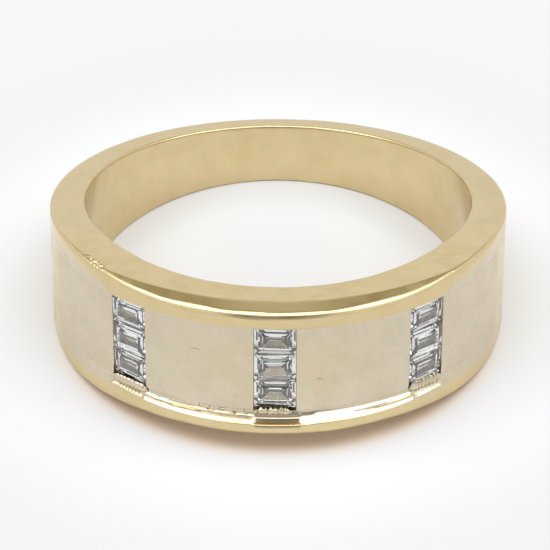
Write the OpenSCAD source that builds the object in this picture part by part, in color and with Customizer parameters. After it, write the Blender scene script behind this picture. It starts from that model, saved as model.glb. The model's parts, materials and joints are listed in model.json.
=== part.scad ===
// Two-tone band ring with nine baguette-cut diamonds, lying on its side.
// It is built about the finger hole's axis, front towards -Y, then tipped to the pose in which it rests.

/* [Shank] */
// Diameter of the finger hole
finger_d = 18.9; // [18:0.1:19.4]
// Radius of the band's outer face
outer_r = 11.12; // [11:0.02:11.6]
// How far the outer face's centre lies in front of the hole's centre
outer_shift = 0.62; // [0.4:0.02:0.8]
// Width of the band across its front
front_w = 7.0; // [6.6:0.1:8]
// Distance in front of the hole's centre at which the sides begin to taper
knee_y = 5.0; // [4:0.1:6]
// Taper of each side towards the back, in degrees
taper = 7.35; // [5:0.05:8]
// Radius that eases each side into its taper
knee_r = 25; // [10:1:30]

/* [Edge bevel] */
// Width of the bevel on each outer edge, at the middle of the front
bevel_w = 0.98; // [0.6:0.02:1.2]
// Slope of the bevel from the side of the band, in degrees
bevel_slope = 11.3; // [6:0.1:20]
// Half of the arc that the bevel runs along, in degrees
bevel_reach = 54; // [40:1:60]

/* [Panel] */
// Width of the white-gold panel
panel_w = 4.54; // [4.46:0.02:4.8]
// Depth of the panel below the outer face, at the middle of the front
panel_depth = 0.5; // [0.3:0.05:0.6]
// Half of the arc at whose ends the panel comes level with the outer face, in degrees
panel_reach = 72; // [66:1:78]
// Thickness of the panel
panel_thick = 1.25; // [1.2:0.05:1.35]
// Slope of the lower rail's inner wall from the panel, in degrees
lower_slope = 45; // [40:1:60]
// Slope of the upper rail's inner wall from the panel, in degrees
upper_slope = 60; // [45:1:70]

/* [Diamonds] */
// Length of a stone, along the band
stone_l = 1.94; // [1.8:0.02:2.2]
// Width of a stone, across the band
stone_w = 1.41; // [1.36:0.01:1.44]
// Free gap between two stones of a column
stone_gap = 0.02; // [0.02:0.01:0.04]
// Angle between two columns of stones
column_angle = 38.3; // [30:0.1:45]
// Angle by which the middle column was set off to the left
middle_turn = 0.6; // [0:0.1:1]
// Height of the columns' middle above the panel's
column_lift = 0.04; // [0:0.01:0.06]
// Depth of the stones' tables below the panel's face
table_drop = 0.04; // [0.02:0.01:0.06]

/* [Hidden] */
$fn = 180;
SIDES = ["left", "centre", "right"];
ROWS = ["bottom", "middle", "top"];
function stone_name(side, row) = str("diamond_", SIDES[side], "_", ROWS[row]);

yellow_gold = [0.84, 0.75, 0.53];
white_gold = [0.80, 0.77, 0.69];
diamond_white = [0.88, 0.89, 0.90];

fit_gap = 0.02;
past = 3;
half_w = front_w / 2;
front_out = outer_r + outer_shift;
back_out = outer_r - outer_shift;

// A circle centred on Y that passes the front at a given distance and then a given point.
function arc_centre(front, tip) =
    (tip.x * tip.x + tip.y * tip.y - front * front) / (2 * (front + tip.y));
function on_outer_face(angle) = [outer_r * sin(angle), -outer_shift - outer_r * cos(angle)];

// The bevel's inner edge, a flatter circle that meets the outer face at the ends of its reach.
bevel_front = front_out - bevel_w;
bevel_c = arc_centre(bevel_front, on_outer_face(bevel_reach));
bevel_r = bevel_front + bevel_c;
bevel_drop = bevel_w * tan(bevel_slope);

// The panel's face, a flatter circle too.
panel_tip = on_outer_face(panel_reach);
panel_front = front_out - panel_depth;
panel_c = arc_centre(panel_front, panel_tip);
panel_r = panel_front + panel_c;
panel_end = atan2(panel_tip.x, panel_c - panel_tip.y);

// Heights of a stone's edges above its girdle, and how far each lies inside the girdle, at its ends and sides.
LEVEL = 0;
END_INSET = 1;
SIDE_INSET = 2;
STONE_EDGES = [
    [0.12, 0.42, 0.34], // table
    [0.10, 0.38, 0.30], // first crown step
    [0.06, 0.20, 0.16], // second crown step
    [0.02, 0.00, 0.00], // girdle, upper edge
    [-0.02, 0.00, 0.00], // girdle, lower edge
    [-0.22, 0.22, 0.22], // first pavilion step
    [-0.34, 0.32, 0.32], // second pavilion step
    [-0.54, 0.67, 0.67], // keel
];
crown_h = STONE_EDGES[0][LEVEL];
stone_depth = crown_h - STONE_EDGES[len(STONE_EDGES) - 1][LEVEL];
stone_pitch = stone_w + stone_gap;

// Slots in the panel: wide down past the girdle, then narrower between two ledges.
stone_play = 0.02;
below_girdle = 0.15;
below_keel = 0.06;
ledge_w = 0.13;
ledge_drop = table_drop + crown_h + below_girdle;
slot_drop = table_drop + stone_depth + below_keel;

// The side profile: level over the front, eased round the knee, then tapered.
knee_run = knee_r * tan(taper / 2);
knee_steps = 6;
function side_edge(y) = half_w - (y + knee_y) * tan(taper);
KNEE = [for (i = [0:knee_steps])
    [-knee_y - knee_run + knee_r * sin(taper * i / knee_steps),
     half_w - knee_r * (1 - cos(taper * i / knee_steps))]];

// The rest pose: the tapered part of the lower side lies flat, and the box stands on the origin.
arris_z = half_w - bevel_drop;
rest_z = half_w * cos(taper) - knee_y * sin(taper);
rest_y = ((front_out - back_out) * cos(taper) + (arris_z - side_edge(back_out)) * sin(taper)) / 2;

module at_rest() translate([0, rest_y, rest_z]) rotate([-taper, 0, 0]) children();

module side_profile() {
    front = [-front_out - past, half_w];
    back = [back_out + past, side_edge(back_out + past)];
    upper = concat([front], KNEE, [back]);
    lower = [for (i = [len(upper) - 1:-1:0]) [upper[i].x, -upper[i].y]];
    polygon(concat(upper, lower));
}

module blank() intersection() {
    translate([0, -outer_shift, 0]) cylinder(h = front_w + 2 * past, r = outer_r, center = true);
    rotate([90, 0, 90]) linear_extrude(height = 2 * (outer_r + past), center = true) side_profile();
    edge_bevels();
}

// A flat double cone, whose two faces cut the bevels.
module edge_bevels() {
    rim = outer_r + bevel_c + past;
    function face(r) = half_w + (bevel_r - r) * tan(bevel_slope);
    translate([0, bevel_c, 0]) rotate_extrude()
        polygon([[0, -face(0)], [rim, -face(rim)], [rim, face(rim)], [0, face(0)]]);
}

// The open trough between the rails, which grows wider towards the outer face.
module trough() {
    foot = panel_w / 2 + fit_gap;
    function brim(slope) = foot + past / tan(slope);
    translate([0, panel_c, 0]) rotate_extrude() polygon([
        [panel_r, -foot],
        [panel_r + past, -brim(lower_slope)],
        [panel_r + past, brim(upper_slope)],
        [panel_r, foot],
    ]);
}

// The panel's own block, grown all round by a clearance.
module panel_block(clear) {
    reach = panel_end + asin(clear / panel_r);
    far = panel_r + past;
    translate([0, panel_c, 0]) intersection() {
        difference() {
            cylinder(h = panel_w + 2 * clear, r = panel_r, center = true);
            cylinder(h = panel_w + 2 * past, r = panel_r - panel_thick - clear, center = true);
        }
        linear_extrude(height = panel_w + 2 * past, center = true) polygon([
            [0, 0],
            [-far * sin(reach), -far * cos(reach)],
            [-far, -far],
            [far, -far],
            [far * sin(reach), -far * cos(reach)],
        ]);
    }
}

// Places its children on the panel's face at a column of stones, with +Z facing outwards.
module on_column(side) {
    turn = side == 1 ? -middle_turn : (side - 1) * column_angle;
    translate([0, panel_c, 0]) rotate([0, 0, turn])
        translate([0, -panel_r, 0]) rotate([90, 0, 0]) children();
}

// One step of a slot, open at the panel's face and at both of its edges.
module slot_step(width, drop) {
    translate([-width / 2, -panel_w / 2 - past, -drop]) cube([width, panel_w + 2 * past, drop + past]);
}

module slot_cut() {
    wide = stone_l + 2 * stone_play;
    slot_step(wide, ledge_drop);
    slot_step(wide - 2 * ledge_w, slot_drop);
}

module band() color(yellow_gold) at_rest() difference() {
    blank();
    cylinder(h = front_w + 2 * past, d = finger_d, center = true);
    trough();
    panel_block(fit_gap);
}

module panel() color(white_gold) at_rest() difference() {
    panel_block(0);
    for (side = [0:2]) on_column(side) slot_cut();
}

// A step-cut stone is where two ridge-shaped bars cross, one along it and one across it.
module stone() {
    last = len(STONE_EDGES) - 1;
    module bar(width, inset) linear_extrude(height = 2 * stone_l, center = true) polygon(concat(
        [for (edge = STONE_EDGES) [width / 2 - edge[inset], edge[LEVEL]]],
        [for (i = [last:-1:0]) [STONE_EDGES[i][inset] - width / 2, STONE_EDGES[i][LEVEL]]]));
    intersection() {
        rotate([90, 0, 0]) bar(stone_l, END_INSET);
        rotate([90, 0, 90]) bar(stone_w, SIDE_INSET);
    }
}

module diamond(side, row) color(diamond_white) at_rest() on_column(side)
    translate([0, column_lift + (row - 1) * stone_pitch, -table_drop - crown_h]) stone();

band();
panel();
for (side = [0:2]) for (row = [0:2])
    diamond(side, row);
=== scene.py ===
import json
from math import atan2, cos, degrees, exp, hypot, pi, radians, sin, sqrt, tan, tau

import bmesh
import bpy
from mathutils import Matrix, Vector, noise


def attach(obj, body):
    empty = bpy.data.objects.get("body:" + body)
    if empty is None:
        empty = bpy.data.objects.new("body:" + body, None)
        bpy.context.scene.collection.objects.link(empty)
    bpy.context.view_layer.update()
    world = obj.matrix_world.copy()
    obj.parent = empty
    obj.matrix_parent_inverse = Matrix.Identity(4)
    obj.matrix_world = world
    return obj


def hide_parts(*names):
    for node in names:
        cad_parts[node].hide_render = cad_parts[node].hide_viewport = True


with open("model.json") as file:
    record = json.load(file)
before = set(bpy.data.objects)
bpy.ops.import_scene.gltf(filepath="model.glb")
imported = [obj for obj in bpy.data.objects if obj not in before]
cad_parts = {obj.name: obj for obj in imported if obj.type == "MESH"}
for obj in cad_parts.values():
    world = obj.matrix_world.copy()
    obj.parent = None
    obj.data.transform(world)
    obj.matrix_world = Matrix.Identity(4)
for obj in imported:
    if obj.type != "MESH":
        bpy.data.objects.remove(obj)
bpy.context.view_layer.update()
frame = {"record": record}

# The lie of the ring. It was turned and filed about the finger hole's axis, and lies on the tapered part of
# its lower side, so that axis leans back. Each piece is made upright about the axis, in millimetres with the
# front towards -Y, and is then laid down.
MM = 0.001
hole = next(mount for mount in frame["record"]["mounts"] if mount["name"] == "finger_bore")
lean = Vector((0, 0, 1)).rotation_difference(Vector(hole["axis"]))
LAID = Matrix.Translation(hole["pos_m"]) @ lean.to_matrix().to_4x4() @ Matrix.Scale(MM, 4)


def lay_down(bm, name, material, nodes=()):
    """Lays a finished piece in its place, where it stands for those nodes of the frame."""
    bm.transform(LAID)
    mesh = bpy.data.meshes.new(name)
    bm.to_mesh(mesh)
    bm.free()
    mesh.materials.append(material)
    piece = bpy.data.objects.new(name, mesh)
    bpy.context.scene.collection.objects.link(piece)
    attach(piece, "root")
    if nodes:
        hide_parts(*nodes)


# The band: one casting of pale 14-karat yellow gold. Its hole is round, its outer face is a larger circle set
# forward of the hole, its sides taper towards the back from a knee on each flank, and a flat bevel is filed
# along each outer edge of the front. A trough with sloping walls, cut in the front, holds the panel.
HOLE_R = 9.45
OUTER_R = 11.12
OUTER_Y = -0.62
HALF_W = 3.5
KNEE_Y = 5.0
KNEE_R = 25.0
TAPER = radians(7.35)
BEVEL_W = 0.98
BEVEL_SLOPE = radians(11.3)
BEVEL_REACH = radians(54)
PANEL_HALF_W = 2.27
PANEL_DEPTH = 0.5
PANEL_REACH = radians(72)
PANEL_THICK = 1.25
FIT = 0.02


def reach(angle, centre_y, radius):
    """How far a circle centred on Y lies from the hole's axis, at an angle from the front."""
    return -centre_y * cos(angle) + sqrt(radius ** 2 - (centre_y * sin(angle)) ** 2)


def outer_point(angle):
    """The point of the outer face at an angle about the face's own centre."""
    return Vector((OUTER_R * sin(angle), OUTER_Y - OUTER_R * cos(angle)))


def circle_through(front, tip):
    """Centre and radius of the circle on Y that passes the front at a distance, and then a point."""
    centre_y = (tip.length_squared - front ** 2) / (2 * (front + tip.y))
    return centre_y, front + centre_y


FRONT = OUTER_R - OUTER_Y
PANEL_TIP = outer_point(PANEL_REACH)
BEVEL_Y, BEVEL_R = circle_through(FRONT - BEVEL_W, outer_point(BEVEL_REACH))
PANEL_Y, PANEL_R = circle_through(FRONT - PANEL_DEPTH, PANEL_TIP)
PANEL_END = atan2(PANEL_TIP.x, -PANEL_TIP.y)


def flank(y):
    """Half of the band's width, flat over the front, eased round the knee and tapered behind it."""
    past_knee = y + KNEE_Y + KNEE_R * tan(TAPER / 2)
    ease = KNEE_R * sin(TAPER)
    if past_knee <= 0:
        return HALF_W
    if past_knee < ease:
        return HALF_W - KNEE_R + sqrt(KNEE_R ** 2 - past_knee ** 2)
    return HALF_W - KNEE_R * (1 - cos(TAPER)) - (past_knee - ease) * tan(TAPER)


def eased(value, start, end):
    """0 up to the start and 1 from the end on, with a soft step between them."""
    share = min(max((value - start) / (end - start), 0), 1)
    return share * share * (3 - 2 * share)


def between(turn, arc, ease):
    """1 within an arc and 0 outside it, with ends softened by an ease to each side, all in degrees."""
    return eased(turn, arc[0] - ease, arc[0] + ease) * (1 - eased(turn, arc[1] - ease, arc[1] + ease))


def wander(angle, scale, seed):
    """A slow wander along the ring, within about -1 and 1."""
    return noise.noise(Vector((scale * cos(angle), scale * sin(angle), seed))) * 1.6


# The file was held flatter in the middle of the front and steeper towards the bevel's ends. It jumped past
# the left end: angle of each mark in degrees and its depth, then half the width of a mark and its slant.
BEVEL_TWIST = radians(9)
BEVEL_TWIST_ARC = (8, 44)
BEVEL_TWIST_LEAST = 0.1
BEVEL_BLEND = 0.015
CHATTER = ((-47.2, 0.07), (-48.2, 0.05), (-49.5, 0.07), (-51.2, 0.05), (-53.2, 0.035))
CHATTER_W = 0.33
CHATTER_SLANT = 1.6


def side_top(angle, r):
    """Height of the band's side: the lower of its flat flank and its bevel, softly blended."""
    flat = flank(-r * cos(angle))
    past = BEVEL_R - hypot(r * sin(angle), -r * cos(angle) - BEVEL_Y)
    twist = BEVEL_TWIST * (eased(abs(degrees(angle)), *BEVEL_TWIST_ARC) + BEVEL_TWIST_LEAST)
    bevel = HALF_W + past * tan(BEVEL_SLOPE + twist)
    overlap = max(BEVEL_BLEND - abs(flat - bevel), 0)
    return min(flat, bevel) - overlap ** 2 / (4 * BEVEL_BLEND)


def chatter(turn, share):
    """Depth of the file's marks at an angle in degrees and a share of the bevel's width."""
    dip = 0
    for middle, depth in CHATTER:
        away = (turn - middle + CHATTER_SLANT * (share - 0.5)) / CHATTER_W
        dip += depth * exp(-away * away) * sin(pi * share)
    return dip


def round_corners(path):
    """Points along a path of (r, z) stops, where (r, z, radius, steps) is a corner that becomes an arc."""
    nearly_straight = 0.01
    points = []
    for i, stop in enumerate(path):
        here = Vector(stop[:2])
        if len(stop) == 2:
            points.append(here)
            continue
        radius, steps = stop[2:]
        back = Vector(path[i - 1][:2]) - here
        onward = Vector(path[i + 1][:2]) - here
        half_turn = max((pi - back.angle(onward)) / 2, 0)
        if half_turn < nearly_straight:
            spread = 0.3 * min(back.length, onward.length)
            first = here + back.normalized() * spread
            last = here + onward.normalized() * spread
            points += [first.lerp(last, step / steps) for step in range(steps + 1)]
            continue
        trim = min(radius * tan(half_turn), 0.9 * back.length, 0.9 * onward.length)
        radius = trim / tan(half_turn)
        inwards = (back.normalized() + onward.normalized()).normalized()
        middle = here + inwards * (radius / cos(half_turn))
        first = here + back.normalized() * trim - middle
        last = here + onward.normalized() * trim - middle
        turn = first.angle_signed(last)
        for step in range(steps + 1):
            points.append(middle + Matrix.Rotation(-turn * step / steps, 2) @ first)
    return points


# Seats cut in the lower rail's inner wall below the columns of stones: ends in degrees, how softly they end,
# and their facets as shares of the wall's run and of its rise
LEFT_SEAT = (-42.6, -33.6)
CENTRE_SEAT = (-5.3, 5.3)
RIGHT_SEAT = (34.5, 45.5)
CENTRE_FACETS = ((0, 0), (0.44, 0.22), (0.50, 0.14), (0.55, 0.34), (0.92, 0.62), (0.97, 0.54), (1, 0.90))
LEFT_FACETS = ((0, 0), (0.38, 0.09), (0.80, 0.38), (1, 0.68))
RIGHT_FACETS = ((0, 0), (0.30, 0.05), (0.75, 0.50), (1, 0.85))
SEATS = ((CENTRE_SEAT, 0.35, CENTRE_FACETS), (LEFT_SEAT, 0.5, LEFT_FACETS), (RIGHT_SEAT, 1.2, RIGHT_FACETS))
# Share of its run over which the wall curves up from the panel, and where more of it does: how much more,
# between which degrees and how softly
CURVE = 0.20
MORE_CURVE = ((0.28, (-22, -5), 2), (0.4, (5, 8.5), 1))
# Two lines scored along the wall: how deep, each one's share of the run and half its width, and how far from
# the middle the high one begins on the left and on the right
SCORE_DEPTH = 0.045
SCORE_HIGH = (0.55, 0.1)
SCORE_HIGH_LEFT = (5, 7)
SCORE_HIGH_RIGHT = (17, 20)
SCORE_LOW = (0.27, 0.12)
SCORE_LOW_ARC = (-32, -6)
WALL_WAVE = 0.010
PIT_DEPTH = 0.11
PIT_ARC = (-22, -6)
# A row of graver teeth near the left seat's lower edge: arc and pitch in degrees, shares of the wall's run
TEETH_DEPTH = 0.11
TEETH_ARC = (-41.8, -34.8)
TEETH_PITCH = 0.95
TEETH_LOW, TEETH_HIGH = 0.4, 0.9


def facet_rise(share, facets):
    """Rise of a seat at a share of the wall's run, on straight facets between (run, rise) corners."""
    for (start, low), (end, high) in zip(facets, facets[1:]):
        if share <= end:
            return low + (high - low) * (share - start) / (end - start)
    return facets[-1][1]


def score(share, middle, half_width):
    """1 in the middle of a scored line, and 0 from its edges on."""
    return max(1 - abs(share - middle) / half_width, 0)


def lower_wall(turn, share, floor, foot, rise, run):
    """A point of the lower rail's inner wall, with its curve, its tool marks and the three seats."""
    curve = CURVE
    for more, arc, ease in MORE_CURVE:
        curve += more * between(turn, arc, ease)
    bright = 1 / (1 - curve / 2)
    height = bright * share * share / (2 * curve) if share < curve else 1 - bright * (1 - share)
    r = floor + rise * height
    z = foot + run * share
    beside = max(eased(-turn, *SCORE_HIGH_LEFT), eased(turn, *SCORE_HIGH_RIGHT))
    scored = beside * score(share, *SCORE_HIGH)
    scored += 0.6 * between(turn, SCORE_LOW_ARC, 2) * score(share, *SCORE_LOW)
    mark = SCORE_DEPTH * scored * (1 + 0.6 * wander(radians(turn), 9, 3.1))
    wave = WALL_WAVE * wander(radians(turn), 14, 5.7 + share) * sin(pi * share)
    pits = max(noise.noise(Vector((turn * 1.1, share * 9, 2.4))) - 0.12, 0) * between(turn, PIT_ARC, 1.5)
    mark += PIT_DEPTH * pits * (1 - eased(share, 0.30, 0.45))
    r, z = r - mark + wave, z + mark + wave
    for arc, ease, facets in SEATS:
        cut = between(turn, arc, ease)
        r += (floor + rise * facet_rise(share, facets) - r) * cut
        z += (foot + run * share - z) * cut
    if TEETH_ARC[0] < turn < TEETH_ARC[1] and TEETH_LOW < share < TEETH_HIGH:
        tooth = TEETH_DEPTH * max(sin(turn * tau / TEETH_PITCH + 5 * share), 0)
        tooth *= sin(pi * (share - TEETH_LOW) / (TEETH_HIGH - TEETH_LOW))
        r, z = r - tooth, z + 0.4 * tooth
    return r, z


# Rounded edges: at the bore, along the outer arris, which is crisper towards the back, and on the rails' lips
BORE_EDGE_R = 0.11
ARRIS_R = 0.36
ARRIS_LOSS = 0.26
ARRIS_LOSS_ARC = (60, 85)
LIP_R = 0.08
# The rails: how far they lap over the panel's edge, their narrowest width, and how far their face is crowned
OVERLAP = 0.03
RAIL_LEAST = 1
RAIL_CROWN = 0.012
RAIL_CROWN_ARC = (55, 70)
# The bevel's narrowest width, and how far its inner edge wavers
BEVEL_LEAST = 0.42
BEVEL_WAVER = 0.02
# The rails' inner walls, which melt into one soft slope past the outer columns of stones
UPPER_WALL = radians(60)
UPPER_FOOT = 0.03
LOWER_WALL = radians(45)
MERGE_ARC = (42.5, 46.5)
MERGED_RUN = 0.8
MERGED_SHARE = 0.8
MERGED_LIP_R = 0.25
# Where the section's points stand, as shares of each face's width, and beside the bevel's inner edge in mm
BORE_SHARES = (0, 0.3, 0.6, 0.85)
FLAT_SHARES = (0, 0.2, 0.4, 0.6, 0.8, 1)
CREST_OFFSETS = (-0.045, -0.02, 0, 0.02, 0.045)
BEVEL_SHARES = (0.2, 0.35, 0.5, 0.6, 0.68)
WALL_SHARES = (0.04, 0.1, 0.18, 0.27, 0.36, 0.45, 0.50, 0.55, 0.60, 0.65, 0.74, 0.83, 0.92, 0.97)
# The trough is cut deep up to just before the panel's tips, and ends between two close sections: degrees left
# to the tip at the last deep section, at the change and at the first shallow one
LAST_DEEP, DEEP_END, FIRST_SHALLOW = 0.13, 0.12, 0.11


def side_path(angle, bevel, out, upper):
    """From the middle of the bore over its edge, along the flat side and down the bevel."""
    side = side_top(angle, HOLE_R)
    path = [(HOLE_R, side * share) for share in BORE_SHARES]
    path.append((HOLE_R, side, BORE_EDGE_R * (1 + 0.3 * wander(angle, 8, 7.7)), 5))
    first, last = HOLE_R + BORE_EDGE_R + 0.03, bevel - 0.07
    for share in FLAT_SHARES:
        r = first + (last - first) * share
        path.append((r, side_top(angle, r)))
    for offset in CREST_OFFSETS:
        path.append((bevel + offset, side_top(angle, bevel + offset)))
    for share in BEVEL_SHARES:
        r = bevel + 0.05 + (out - bevel - 0.2) * share
        dip = chatter(degrees(angle), share) if upper else 0
        path.append((r, side_top(angle, r) - dip))
    return path


def half_section(angle, upper):
    """Half of the band's section at an angle, from the middle of the bore to the middle of the trough."""
    turn = degrees(angle)
    out = reach(angle, OUTER_Y, OUTER_R)
    bevel = min(reach(angle, BEVEL_Y, BEVEL_R) + BEVEL_WAVER * wander(angle, 5, 1.3), out - BEVEL_LEAST)
    arris = side_top(angle, out)
    rise = max(out - reach(angle, PANEL_Y, PANEL_R), 0)
    floor = out - rise
    half_trough = min(PANEL_HALF_W, arris - RAIL_LEAST)
    foot = half_trough + (UPPER_FOOT if upper else 0)
    run = rise / tan(UPPER_WALL if upper else LOWER_WALL)
    merged = eased(abs(turn), *MERGE_ARC)
    run += (min(MERGED_RUN, MERGED_SHARE * (arris - foot)) - run) * merged
    lip = foot + run

    path = side_path(angle, bevel, out, upper)
    arris_r = ARRIS_R - ARRIS_LOSS * eased(abs(turn), *ARRIS_LOSS_ARC)
    path.append((out, arris, arris_r * (1 + 0.22 * wander(angle, 7, 9.2)), 12))
    crown = RAIL_CROWN * (1 - eased(abs(turn), *RAIL_CROWN_ARC))
    path.append((out, arris - (arris - lip) * 0.55))
    path.append((out - crown * 0.5, arris - (arris - lip) * 0.8))
    lip_r = out - crown
    if not upper:
        for arc, ease, facets in SEATS:
            lip_r -= rise * (1 - facets[-1][1]) * between(turn, arc, ease)
    path.append((lip_r, lip, LIP_R + MERGED_LIP_R * merged, 6))
    for share in reversed(WALL_SHARES):
        r, z = floor + (lip_r - floor) * share, foot + run * share
        if not upper and merged < 1:
            own_r, own_z = lower_wall(turn, share, floor, foot, rise, run)
            r += (own_r - r) * (1 - merged)
            z += (own_z - z) * (1 - merged)
        path.append((r, z))

    # The rail is burnished over the panel's edge, and beyond the panel's ends the face runs on
    edge = half_trough - OVERLAP
    path.append((floor, edge))
    if abs(angle) < PANEL_END - radians(DEEP_END):
        bottom = floor - PANEL_THICK - FIT
        path += [(floor - 0.04, edge), (floor - 0.06, PANEL_HALF_W + FIT)]
        path += [(bottom, PANEL_HALF_W + FIT), (bottom, 0)]
    else:
        path += [(floor, edge * share) for share in (0.98, 0.96, 0.9, 0)]
    return round_corners(path)


def whole_section(angle):
    """The whole closed section, upper half and then lower half."""
    upper = half_section(angle, True)
    lower = half_section(angle, False)
    return upper + [Vector((point.x, -point.y)) for point in lower[-2:0:-1]]


def turned(angle, point):
    """A point of the section at an angle, placed round the ring."""
    return Vector((point.x * sin(angle), -point.x * cos(angle), point.y))


# Runs of sections from the front to the back, each up to an angle and by a step, in degrees
RUNS = ((6, 0.3), (31.5, 0.425), (56.5, 0.2), (78, 0.5), (180, 1.2))
stops = [0.0]
for end, step in RUNS:
    first = stops[-1]
    count = round((end - first) / step)
    stops += [first + (end - first) * (i + 1) / count for i in range(count)]
last_inside = max(i for i, stop in enumerate(stops) if radians(stop) < PANEL_END)
stops[last_inside] = degrees(PANEL_END) - LAST_DEEP
stops[last_inside + 1] = degrees(PANEL_END) - FIRST_SHALLOW
band_rings = 2 * (len(stops) - 1)

bm = bmesh.new()
station = bm.verts.layers.int.new("station")
start = [bm.verts.new(turned(pi, point)) for point in whole_section(pi)]
for index, vert in enumerate(start):
    vert[station] = index
loop = [bm.edges.new((start[i - 1], start[i])) for i in range(len(start))]
bmesh.ops.spin(
    bm, geom=start + loop, cent=(0, 0, 0), axis=(0, 0, 1), dvec=(0, 0, 0),
    angle=tau, steps=band_rings, use_merge=True, use_duplicate=False,
)
sections = {}
for vert in bm.verts:
    ring = round(atan2(vert.co.x, -vert.co.y) / tau * band_rings)
    angle = radians(stops[abs(ring)]) * (1 if ring > 0 else -1)
    if ring not in sections:
        sections[ring] = whole_section(angle)
    vert.co = turned(angle, sections[ring][vert[station]])

# White gold ran over the rails when the panel was soldered in, more so towards its ends
SPILL_ARC = (34, 66)
SPILL_INNER_R = 10.4
SPILL_TURN = 80
SEAT_BARED = 0.6
# The flat sides were left brushed and the rest polished
POLISHED = 0.25


def runs_out(turn):
    """How white the metal still is at an angle, in degrees, near the panel's ends."""
    return 1 - eased(abs(turn), 61, 77)


def spill(turn, z):
    """How white the rails are at an angle, in degrees, and a height."""
    spread = eased(abs(turn), *SPILL_ARC)
    start, end = 0.05 + 0.25 * spread, 0.20 + 0.75 * spread
    if z < 0 and spread < 1:
        start, end = 0.28, 0.50 + 0.45 * spread
    share = (1 - eased(abs(z) - PANEL_HALF_W, start, end)) * runs_out(turn)
    return share * (1 - SEAT_BARED * between(turn, LEFT_SEAT, 0.35)) if z < 0 else share


white = bm.verts.layers.float.new("white")
brushed = bm.verts.layers.float.new("brushed")
for vert in bm.verts:
    angle = atan2(vert.co.x, -vert.co.y)
    out = hypot(vert.co.x, vert.co.y)
    bevel = min(reach(angle, BEVEL_Y, BEVEL_R), reach(angle, OUTER_Y, OUTER_R) - 0.2)
    flat = eased(out, HOLE_R + 0.05, HOLE_R + 0.15) * (1 - eased(out, bevel - 0.08, bevel))
    vert[brushed] = POLISHED + (1 - POLISHED) * flat
    if abs(degrees(angle)) <= SPILL_TURN and out >= SPILL_INNER_R:
        vert[white] = spill(degrees(angle), vert.co.z)


def close_up(bm):
    """Joins points that lie on each other, and turns all faces outwards."""
    bmesh.ops.remove_doubles(bm, verts=bm.verts[:], dist=1e-5)
    bmesh.ops.recalc_face_normals(bm, faces=bm.faces[:])


def burnish(bm):
    """Shades a piece smooth, but for its crisp edges."""
    for face in bm.faces:
        face.smooth = True
    for edge in bm.edges:
        edge.smooth = edge.calc_face_angle(0) < radians(50)


close_up(bm)
burnish(bm)


def put(tree, kind, values=(), **settings):
    """Adds a node to a tree. A value that is a socket is linked, and any other value is set."""
    node = tree.nodes.new(kind)
    for key, value in settings.items():
        setattr(node, key, value)
    for key, value in dict(values).items():
        if isinstance(value, bpy.types.NodeSocket):
            tree.links.new(value, node.inputs[key])
        else:
            node.inputs[key].default_value = value
    return node


def fade(tree, value, start, end, low=0.0, high=1.0, kind="LINEAR"):
    """Goes from low to high while a value goes from start to end."""
    ends = {0: value, 1: start, 2: end, 3: low, 4: high}
    return put(tree, "ShaderNodeMapRange", ends, interpolation_type=kind).outputs[0]


def mix(tree, share, a, b, blend="MIX"):
    """A colour between two colours, or the first tinted by the second."""
    ends = {0: share, 6: a, 7: b}
    return put(tree, "ShaderNodeMix", ends, data_type="RGBA", blend_type=blend).outputs[2]


def reckon(tree, operation, *values):
    """The sum, product or the like of some numbers."""
    return put(tree, "ShaderNodeMath", enumerate(values), operation=operation).outputs[0]


def reckon_places(tree, operation, *values, result="Vector"):
    """The difference, length or the like of some places."""
    return put(tree, "ShaderNodeVectorMath", enumerate(values), operation=operation).outputs[result]


# Fine lines left by the brush: turn of each set in radians, and how fast it varies along and across, per mm.
# The last set gives the stray scratches, where it stands highest.
BRUSH_LINES = ((0.06, 0.5, 21), (-0.16, 0.8, 16), (0.62, 0.9, 12))
STRAY_START, STRAY_END, STRAY_DEPTH = 0.62, 0.72, -0.8
BLOTCH_SCALE = 0.8
FINE_BLOTCH_SCALE = 3.6


def wear_group():
    """Height of fine brush lines and stray scratches, and two blotches, for a place in millimetres."""
    group = bpy.data.node_groups.new("wear", "ShaderNodeTree")
    group.interface.new_socket("Place", in_out="INPUT", socket_type="NodeSocketVector")
    place = put(group, "NodeGroupInput").outputs["Place"]
    heights = []
    for turn, along, across in BRUSH_LINES:
        stretch = {"Vector": place, "Rotation": (0, 0, turn), "Scale": (along, across, across)}
        mapped = put(group, "ShaderNodeMapping", stretch).outputs[0]
        grain = {"Vector": mapped, "Scale": 1.0, "Detail": 2.0}
        heights.append(put(group, "ShaderNodeTexNoise", grain).outputs[0])
    stray = fade(group, heights[2], STRAY_START, STRAY_END, 0.0, STRAY_DEPTH)
    lines = reckon(group, "ADD", reckon(group, "ADD", heights[0], heights[1]), stray)
    results = {"Lines": lines}
    for name, scale, detail in (("Blotch", BLOTCH_SCALE, 2.0), ("Fine blotch", FINE_BLOTCH_SCALE, 3.0)):
        grain = {"Vector": place, "Scale": scale, "Detail": detail}
        results[name] = put(group, "ShaderNodeTexNoise", grain).outputs[0]
    for name in results:
        group.interface.new_socket(name, in_out="OUTPUT", socket_type="NodeSocketFloat")
    put(group, "NodeGroupOutput", results)
    return group


wear = wear_group()
# Each gold's two tints, which mingle in small spots, and the tints that dull it in blotches and darken it in
# small marks
YELLOW = ((0.760, 0.587, 0.352), (0.714, 0.604, 0.324))
WHITE = ((0.715, 0.597, 0.478), (0.648, 0.600, 0.439))
DULL = (0.965, 0.96, 0.94, 1)
DARK_MARK_TINT = (0.62, 0.53, 0.42, 1)
TINT_SPOTS = (0.36, 0.64)
DULL_SPOTS = (0.42, 0.66)
ROUGH_SPOTS = (0.35, 0.65)
ROUGH_SPREAD = 0.06
# How ragged a dark mark's outline is, between which distances from its middle it darkens, and how much
DARK_MARK_RAG = 1.6
DARK_MARK_RIM = (1.8, 1.0)
DARK_MARK_STRENGTH = 0.9


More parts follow.
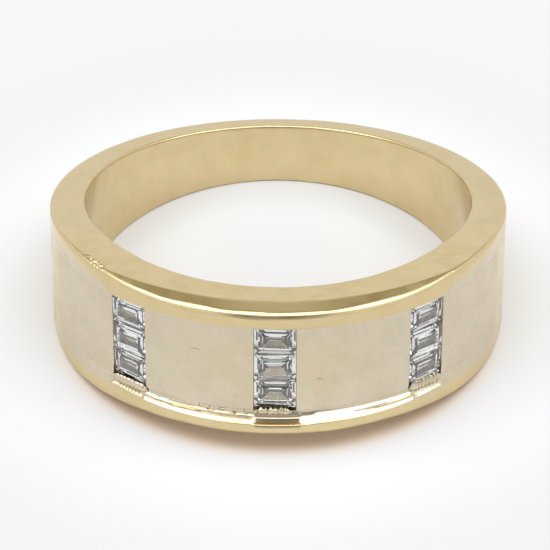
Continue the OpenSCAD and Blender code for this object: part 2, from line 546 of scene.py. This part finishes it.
def gold(name, roughness, scratch, dark_marks=()):
    """Worn gold, yellow to white by the piece's own share, with a roughness and its scratches' height."""
    material = bpy.data.materials.new(name)
    material.use_nodes = True
    tree = material.node_tree
    shader = tree.nodes["Principled BSDF"]
    place = put(tree, "ShaderNodeTexCoord").outputs["Object"]
    in_mm = put(tree, "ShaderNodeVectorMath", {0: place, "Scale": 1 / MM}, operation="SCALE").outputs[0]
    worn = put(tree, "ShaderNodeGroup", {"Place": in_mm}, node_tree=wear)
    blotch, spots = worn.outputs["Blotch"], worn.outputs["Fine blotch"]
    share = fade(tree, spots, *TINT_SPOTS)
    tints = [mix(tree, share, (*first, 1), (*last, 1)) for first, last in (YELLOW, WHITE)]
    white = put(tree, "ShaderNodeAttribute", attribute_name="white").outputs["Fac"]
    tint = mix(tree, white, *tints)
    tint = mix(tree, fade(tree, blotch, *DULL_SPOTS), tint, DULL, "MULTIPLY")
    for middle, length, height in dark_marks:
        away = reckon_places(tree, "SUBTRACT", place, middle)
        sizes = (1 / (length * MM), 1 / (length * MM), 1 / (height * MM))
        away = reckon_places(tree, "MULTIPLY", away, sizes)
        away = reckon_places(tree, "LENGTH", away, result="Value")
        ragged = reckon(tree, "MULTIPLY_ADD", spots, DARK_MARK_RAG, away)
        tint = mix(tree, fade(tree, ragged, *DARK_MARK_RIM, 0.0, DARK_MARK_STRENGTH), tint, DARK_MARK_TINT, "MULTIPLY")
    tree.links.new(tint, shader.inputs["Base Color"])
    rough = fade(tree, blotch, *ROUGH_SPOTS, roughness - ROUGH_SPREAD, roughness + ROUGH_SPREAD)
    tree.links.new(rough, shader.inputs["Roughness"])
    brushed = put(tree, "ShaderNodeAttribute", attribute_name="brushed").outputs["Fac"]
    lines = reckon(tree, "MULTIPLY", worn.outputs["Lines"], brushed)
    bump = put(tree, "ShaderNodeBump", {"Height": lines, "Distance": scratch * MM, "Strength": 1.0})
    tree.links.new(bump.outputs[0], shader.inputs["Normal"])
    shader.inputs["Metallic"].default_value = 1
    return material


yellow_gold = gold("yellow_gold", 0.20, 0.0045)
lay_down(bm, "gold_band", yellow_gold, ["band"])


# The panel: a plate of warm grey white gold, bent to lie in the trough. Three upright slots for the stones
# are cut in its face. Each is wide down past the girdle and narrower between two ledges below it.
COLUMN_ANGLE = radians(38.3)
MIDDLE_TURN = radians(0.6)
COLUMN_LIFT = 0.04
STONE_L = 1.94
STONE_W = 1.41
STONE_GAP = 0.02
STONE_PLAY = 0.02
TABLE_DROP = 0.04
LEDGE_W = 0.13
LEDGE_DROP = 0.31
SLOT_DROP = 0.76
# Half of the width of each step of a slot, and its depth
LIP = STONE_L / 2 + STONE_PLAY
SLOT_STEPS = ((LIP, LEDGE_DROP), (LIP - LEDGE_W, SLOT_DROP))
# The slots' lips were burnished soft: how wide and how deep, and how far the graver wavered at the outer ones
SOFT_W = 0.06
SOFT_DROP = 0.035
OUTER_WAVER = 0.030
INNER_WAVER = 0.010
PANEL_EDGE_R = 0.02
PANEL_STEPS = 240
PANEL_ROWS = 18
# Width of the thin strip that becomes a slot's upright wall
WALL_STRIP = 0.001
# How far from a slot's middle, and below the panel's face, its cuts still go
CUT_HALF_W = 2
CUT_DEPTH = 3


def column(side):
    """Places what is made for a column of stones: +X along the band, +Y up it and +Z out of it."""
    turn = side * COLUMN_ANGLE if side else -MIDDLE_TURN
    return (
        Matrix.Translation((0, PANEL_Y, 0)) @ Matrix.Rotation(turn, 4, "Z")
        @ Matrix.Translation((0, -PANEL_R, 0)) @ Matrix.Rotation(pi / 2, 4, "X")
    )


def score_across(bm, place, offset):
    """Divides the faces near a slot along an upright plane at an offset from its middle."""
    back = place.inverted()
    parts = {}
    for face in bm.faces:
        middle = back @ face.calc_center_median()
        if abs(middle.x) < CUT_HALF_W and middle.z > -CUT_DEPTH:
            parts.update(dict.fromkeys((face, *face.verts, *face.edges)))
    bmesh.ops.bisect_plane(
        bm, geom=list(parts), dist=1e-5,
        plane_co=place @ Vector((offset, 0, 0)), plane_no=place.to_3x3() @ Vector((1, 0, 0)),
    )


# It is swept about the centre of its own face, between its two tips
tip_angle = atan2(PANEL_TIP.x, PANEL_Y - PANEL_TIP.y)
inner_r = PANEL_R - PANEL_THICK
half = [(inner_r, 0), (inner_r, PANEL_HALF_W, PANEL_EDGE_R, 2), (PANEL_R, PANEL_HALF_W, PANEL_EDGE_R, 2)]
half += [(PANEL_R, PANEL_HALF_W * (1 - (i + 0.8) / (PANEL_ROWS + 0.8))) for i in range(PANEL_ROWS + 1)]
upper = round_corners(half)
outline = upper + [Vector((point.x, -point.y)) for point in upper[-2:0:-1]]
bm = bmesh.new()
start = [bm.verts.new((0, -point.x, point.y)) for point in outline]
bmesh.ops.rotate(bm, verts=start, cent=(0, 0, 0), matrix=Matrix.Rotation(-tip_angle, 3, "Z"))
cap = bm.faces.new(start)
bmesh.ops.spin(
    bm, geom=[cap], cent=(0, 0, 0), axis=(0, 0, 1), dvec=(0, 0, 0),
    angle=2 * tip_angle, steps=PANEL_STEPS, use_merge=False, use_duplicate=False,
)
bmesh.ops.translate(bm, verts=bm.verts[:], vec=(0, PANEL_Y, 0))
for side in (-1, 0, 1):
    place = column(side)
    back = place.inverted()
    for step, (half_width, drop) in enumerate(SLOT_STEPS):
        cuts = [half_width - WALL_STRIP, half_width]
        if step == 0:
            cuts += [half_width + SOFT_W / 3, half_width + SOFT_W]
        for offset in sorted([-cut for cut in cuts] + cuts):
            score_across(bm, place, offset)
        for vert in bm.verts:
            local = back @ vert.co
            if abs(local.x) < half_width - WALL_STRIP / 2 and -drop < local.z:
                local.z = -drop
                vert.co = place @ local
    # The slot's lips are burnished soft, and were cut by hand along a slightly wavy line
    for vert in bm.verts:
        local = back @ vert.co
        if local.z < -1 or not LIP - WALL_STRIP * 1.5 < abs(local.x) < LIP + SOFT_W * 1.01:
            continue
        out = (abs(local.x) - LIP) / SOFT_W
        if out > -0.001 and local.z > -0.2:
            local.z -= SOFT_DROP * (1 - min(max(out, 0), 1)) ** 2
        waver = OUTER_WAVER if side * local.x > 0 else INNER_WAVER
        wave = noise.noise(Vector((local.y * 1.7, side * 5.0, 3.0 if local.x > 0 else 8.0)))
        local.x += waver * (1 if local.x > 0 else -1) * (wave + 0.3)
        vert.co = place @ local
close_up(bm)
burnish(bm)

# Its middle is a little warmer, and its tips run out into the band's yellow
WARMTH = 0.22
white = bm.verts.layers.float.new("white")
brushed = bm.verts.layers.float.new("brushed")
for vert in bm.verts:
    turn = degrees(atan2(vert.co.x, -vert.co.y))
    warm = (1 - eased(abs(turn), 10, 34)) * (1 - eased(abs(vert.co.z), 1.2, 2.3))
    vert[white] = runs_out(turn) - WARMTH * warm
    vert[brushed] = 1
# Small dark marks in its face: degrees from the front, height, and half of each one's length and height
DARK_MARK_PLACES = (
    (10.0, -0.53, 0.17, 0.07), (10.9, -0.60, 0.13, 0.04),
    (-19.8, 0.78, 0.34, 0.035), (-10.0, -1.50, 0.12, 0.04),
)
dark_marks = []
for turn, height, *size in DARK_MARK_PLACES:
    angle = radians(turn)
    dark_marks.append((LAID @ turned(angle, Vector((reach(angle, PANEL_Y, PANEL_R), height))), *size))
white_gold = gold("white_gold", 0.27, 0.003, dark_marks)
lay_down(bm, "white_gold_panel", white_gold, ["panel"])


# The beads: ragged rows of white gold that the setter pushed up against the bottom stones, one to a column.
# Each is a round bar along the band, pinched between its beads and drawn in at its ends.
BEADS = (
    # name, column, ends of the row, its height on the panel, half its thickness up and out, depth of its
    # beads, and a seed
    ("centre", 0, (-1.0, 0.80), -2.29, (0.22, 0.14), 0.40, 2.0),
    ("right", 1, (-1.04, 0.90), -2.14, (0.31, 0.16), 0.38, 7.0),
    ("left", -1, (-1.06, 1.16), -2.27, (0.24, 0.12), 0.12, 4.0),
)
BEAD_STEPS = 72
BEAD_PITCH = 0.23
BEAD_STRAY = 2.6
BEAD_RAG = 0.1
# The seed of the vector noise that makes them ragged, so that they come out the same each time
RAG_SEED = 1795719846
noise.seed_set(RAG_SEED)

for name, side, (first, last), height, (up, out), depth, seed in BEADS:
    bm = bmesh.new()
    bmesh.ops.create_circle(
        bm, cap_ends=True, segments=14, radius=1,
        matrix=Matrix.Translation((first, 0, 0)) @ Matrix.Rotation(pi / 2, 4, "Y"),
    )
    steps = max(round(BEAD_STEPS * (last - first) / 2), 16)
    bmesh.ops.spin(
        bm, geom=bm.faces[:], cent=(0, 0, 0), axis=(1, 0, 0), dvec=((last - first) / steps, 0, 0),
        angle=0, steps=steps, use_merge=False, use_duplicate=False,
    )
    for vert in bm.verts:
        x, y, z = vert.co
        share = (x - first) / (last - first)
        stray = BEAD_STRAY * noise.noise(Vector((x * 2.2, seed, 0)))
        bead = 1 - depth + depth * abs(sin(pi * (x - first) / BEAD_PITCH + stray))
        swell = bead * min(1, 7 * share * (1 - share) + 0.15)
        rag = noise.noise_vector(Vector((x * 7, y * 1.5 + seed, z * 1.5))) * BEAD_RAG * depth
        vert.co = Vector((x, height + up * y * swell, out * z * swell)) + rag
    bmesh.ops.recalc_face_normals(bm, faces=bm.faces[:])
    burnish(bm)
    white = bm.verts.layers.float.new("white")
    for vert in bm.verts:
        vert[white] = 1
    bm.transform(column(side))
    lay_down(bm, f"beads_{name}", white_gold)


# The diamonds: nine baguettes, three to a column. Each is a step-cut bar with a table, a crown, a girdle and
# a pavilion of three steps, held in its slot. No two were cut quite alike or sit quite level.
STONE_CUT = (
    # height above the girdle, inset from the girdle at the ends and along the sides
    (0.12, 0.42, 0.34),
    (0.10, 0.38, 0.30),
    (0.06, 0.20, 0.16),
    (0.02, 0.00, 0.00),
    (-0.02, 0.00, 0.00),
    (-0.22, 0.22, 0.22),
    (-0.34, 0.32, 0.32),
    (-0.54, 0.67, 0.67),
)
# Pavilion's depth as a share of the cut's, and the stone's tilts in degrees, by column and row from below
SET = {
    (-1, -1): (1.03, 1.8, -2.2), (-1, 0): (1.05, -1.6, 1.9), (-1, 1): (1.00, 2.3, 2.0),
    (0, -1): (1.04, 2.0, -1.8), (0, 0): (0.99, -2.2, 2.1), (0, 1): (1.06, 1.5, -2.3),
    (1, -1): (1.02, 1.7, 1.9), (1, 0): (1.06, -2.0, -2.1), (1, 1): (1.03, 2.4, 1.5),
}


def cut_stone(depth):
    """Lowers a rectangle from the table to the keel, through each edge of the cut."""
    bm = bmesh.new()
    bmesh.ops.create_grid(bm, x_segments=1, y_segments=1, size=0.5)
    face = bm.faces[:][0]
    for level, (height, ends, sides) in enumerate(STONE_CUT):
        if level:
            grown = bmesh.ops.extrude_face_region(bm, geom=[face])
            # Each face stays behind when it is lowered, and only the table is wanted
            if level > 1:
                bmesh.ops.delete(bm, geom=[face], context="FACES_ONLY")
            face = next(item for item in grown["geom"] if isinstance(item, bmesh.types.BMFace))
        for vert in face.verts:
            vert.co = (
                (STONE_L / 2 - ends) * (1 if vert.co.x > 0 else -1),
                (STONE_W / 2 - sides) * (1 if vert.co.y > 0 else -1),
                height * (depth if height < 0 else 1),
            )
    bmesh.ops.recalc_face_normals(bm, faces=bm.faces[:])
    return bm


diamond = bpy.data.materials.new("diamond")
diamond.use_nodes = True
shader = diamond.node_tree.nodes["Principled BSDF"]
shader.inputs["Base Color"].default_value = (1.0, 1.0, 0.995, 1)
shader.inputs["Roughness"].default_value = 0
shader.inputs["IOR"].default_value = 2.417
shader.inputs["Transmission Weight"].default_value = 1

for side, side_name in ((-1, "left"), (0, "centre"), (1, "right")):
    for row, row_name in ((-1, "bottom"), (0, "middle"), (1, "top")):
        depth, nod, roll = SET[side, row]
        bm = cut_stone(depth)
        tilt = Matrix.Rotation(radians(nod), 4, "X") @ Matrix.Rotation(radians(roll), 4, "Y")
        up = COLUMN_LIFT + row * (STONE_W + STONE_GAP)
        seat = Matrix.Translation((0, up, -TABLE_DROP - STONE_CUT[0][0]))
        bm.transform(column(side) @ seat @ tilt)
        name = f"{side_name}_{row_name}"
        lay_down(bm, f"baguette_{name}", diamond, [f"diamond_{name}"])


# The setting: a plain pale floor under a white tent, which is open at the top of its back wall, with a
# softbox overhead. The camera looks in through a gap in its front wall.
CAMERA_UP = radians(38.95)
AWAY = Vector((0, -cos(CAMERA_UP), sin(CAMERA_UP)))
# Painted light on the floor, lifting the ring's shade in the hole and beside it: the floor's tone outwards
# from the middle, by shares of the distance at which it comes to an end
TONES_END = 0.025
FLOOR_PAINTED_LIGHT = (
    (0.0, (0.68, 0.69, 0.71)), (0.18, (0.69, 0.70, 0.715)), (0.30, (0.76, 0.775, 0.80)),
    (0.36, (0.66, 0.67, 0.69)), (0.52, (0.80, 0.81, 0.84)), (0.76, (0.635, 0.64, 0.65)),
    (1.0, (0.68, 0.685, 0.695)),
)
# A painted warm shadow on the floor under the front, standing for the shade there and the light thrown down
# by the gold, in a strip between two distances
WARM_SHADOW = (0.78, 0.64, 0.51, 1)
STRIP_INNER = (0.0090, 0.0104)
STRIP_OUTER = (0.0120, 0.0108)
STRIP_FRONT = (-0.002, -0.007)


def ramp(tree, value, tones, interpolation="LINEAR"):
    """A colour from tones along a value, of which the first is at 0 and the last at 1."""
    node = put(tree, "ShaderNodeValToRGB", {0: value})
    node.color_ramp.interpolation = interpolation
    stops = node.color_ramp.elements
    for position, tone in tones:
        stop = stops.new(position) if 0 < position < 1 else stops[-int(position)]
        stop.color = (*tone, 1)
    return node.outputs[0]


def soft(tree, value, start, end):
    """0 up to the start and 1 from the end on, with a soft step between them."""
    return fade(tree, value, start, end, kind="SMOOTHSTEP")


bpy.ops.mesh.primitive_plane_add(size=3)
floor = bpy.context.object
floor.name = "floor"
paper = bpy.data.materials.new("paper")
paper.use_nodes = True
tree = paper.node_tree
place = put(tree, "ShaderNodeTexCoord").outputs["Object"]
out = reckon_places(tree, "LENGTH", place, result="Value")
# The floor's tone by distance from the middle: painted light that lifts the ring's shade
tone = ramp(tree, reckon(tree, "MULTIPLY", out, 1 / TONES_END), FLOOR_PAINTED_LIGHT, "B_SPLINE")
y = put(tree, "ShaderNodeSeparateXYZ", {0: place}).outputs["Y"]
# Where the painted warm shadow lies: within the strip, towards the front
painted_shadow_share = reckon(tree, "MULTIPLY", soft(tree, out, *STRIP_OUTER), soft(tree, y, *STRIP_FRONT))
painted_shadow_share = reckon(tree, "MULTIPLY", painted_shadow_share, soft(tree, out, *STRIP_INNER))
shader = tree.nodes["Principled BSDF"]
tree.links.new(mix(tree, painted_shadow_share, tone, WARM_SHADOW), shader.inputs["Base Color"])
shader.inputs["Roughness"].default_value = 1
shader.inputs["Specular IOR Level"].default_value = 0
shader.inputs["Emission Color"].default_value = (1, 1, 1, 1)
shader.inputs["Emission Strength"].default_value = 0.04
floor.data.materials.append(paper)

# The tent's grey by height, then its open back, the gap in its front wall round the camera, and the lens
TENT_GREYS = ((0.0, 0.80), (0.16, 0.92), (0.41, 0.92), (1.0, 1.0))
OPEN_BACK = (0.41, 0.38, 0.26, 1)
FRONT_GAP = (0.55, 0.55, 0.545, 1)
LENS = (0.24, 0.23, 0.21, 1)

world = bpy.data.worlds.new("tent")
bpy.context.scene.world = world
world.use_nodes = True
tree = world.node_tree
ray = put(tree, "ShaderNodeTexCoord").outputs["Generated"]
split = put(tree, "ShaderNodeSeparateXYZ", {0: ray})
tent = ramp(tree, split.outputs["Z"], [(height, (grey, grey, grey)) for height, grey in TENT_GREYS])
aside = reckon(tree, "ABSOLUTE", split.outputs["X"])
rise = reckon(tree, "MULTIPLY_ADD", aside, 1.1, split.outputs["Z"])
opened = reckon(tree, "MULTIPLY", soft(tree, rise, 0.60, 0.92), soft(tree, split.outputs["Y"], 0.30, 0.50))
opened = reckon(tree, "MULTIPLY", opened, soft(tree, aside, 0.54, 0.38))
tent = mix(tree, opened, tent, OPEN_BACK)
toward = reckon_places(tree, "DOT_PRODUCT", ray, AWAY, result="Value")
gap = soft(tree, toward, cos(radians(72)), cos(radians(36)))
gap = reckon(tree, "MULTIPLY", gap, soft(tree, aside, 0.55, 0.30))
tent = mix(tree, gap, tent, FRONT_GAP)
tent = mix(tree, soft(tree, toward, cos(radians(21)), cos(radians(9))), tent, LENS)
tree.links.new(tent, tree.nodes["Background"].inputs[0])

bpy.ops.object.light_add(type="AREA", location=(0, -0.033, 0.35))
box = bpy.context.object
box.name = "softbox"
box.data.shape = "RECTANGLE"
box.data.size = 0.72
box.data.size_y = 0.25
box.data.energy = 1.2

# The camera, at the photograph's angle. It is aimed so that the place under the middle of the finger hole
# comes to lie where it does in the photograph, counted in pixels from the upper left corner.
CAMERA_FAR = 0.160
CAMERA_ROLL = radians(0.17)
SENSOR_W = 36
FOCAL_PX = 3200
PHOTO_PX = 550
UNDER_HOLE = Vector((0, 0.00073, 0))
UNDER_HOLE_PX = (277.9, 291.3)

camera = bpy.data.objects.new("camera", bpy.data.cameras.new("camera"))
bpy.context.scene.collection.objects.link(camera)
bpy.context.scene.camera = camera
camera.data.lens_unit = "MILLIMETERS"
camera.data.sensor_width = SENSOR_W
camera.data.lens = SENSOR_W * FOCAL_PX / PHOTO_PX
camera.data.clip_start = 0.01
px = CAMERA_FAR / FOCAL_PX
off_centre = Vector(((PHOTO_PX / 2 - UNDER_HOLE_PX[0]) * px, (UNDER_HOLE_PX[1] - PHOTO_PX / 2) * px, 0))
aim = UNDER_HOLE + AWAY.to_track_quat("Z", "Y") @ off_centre
camera.location = UNDER_HOLE + AWAY * CAMERA_FAR
sight = (camera.location - aim).to_track_quat("Z", "Y")
camera.rotation_mode = "QUATERNION"
camera.rotation_quaternion = sight @ Matrix.Rotation(CAMERA_ROLL, 4, "Z").to_quaternion()

bpy.context.scene.view_settings.view_transform = "Standard"
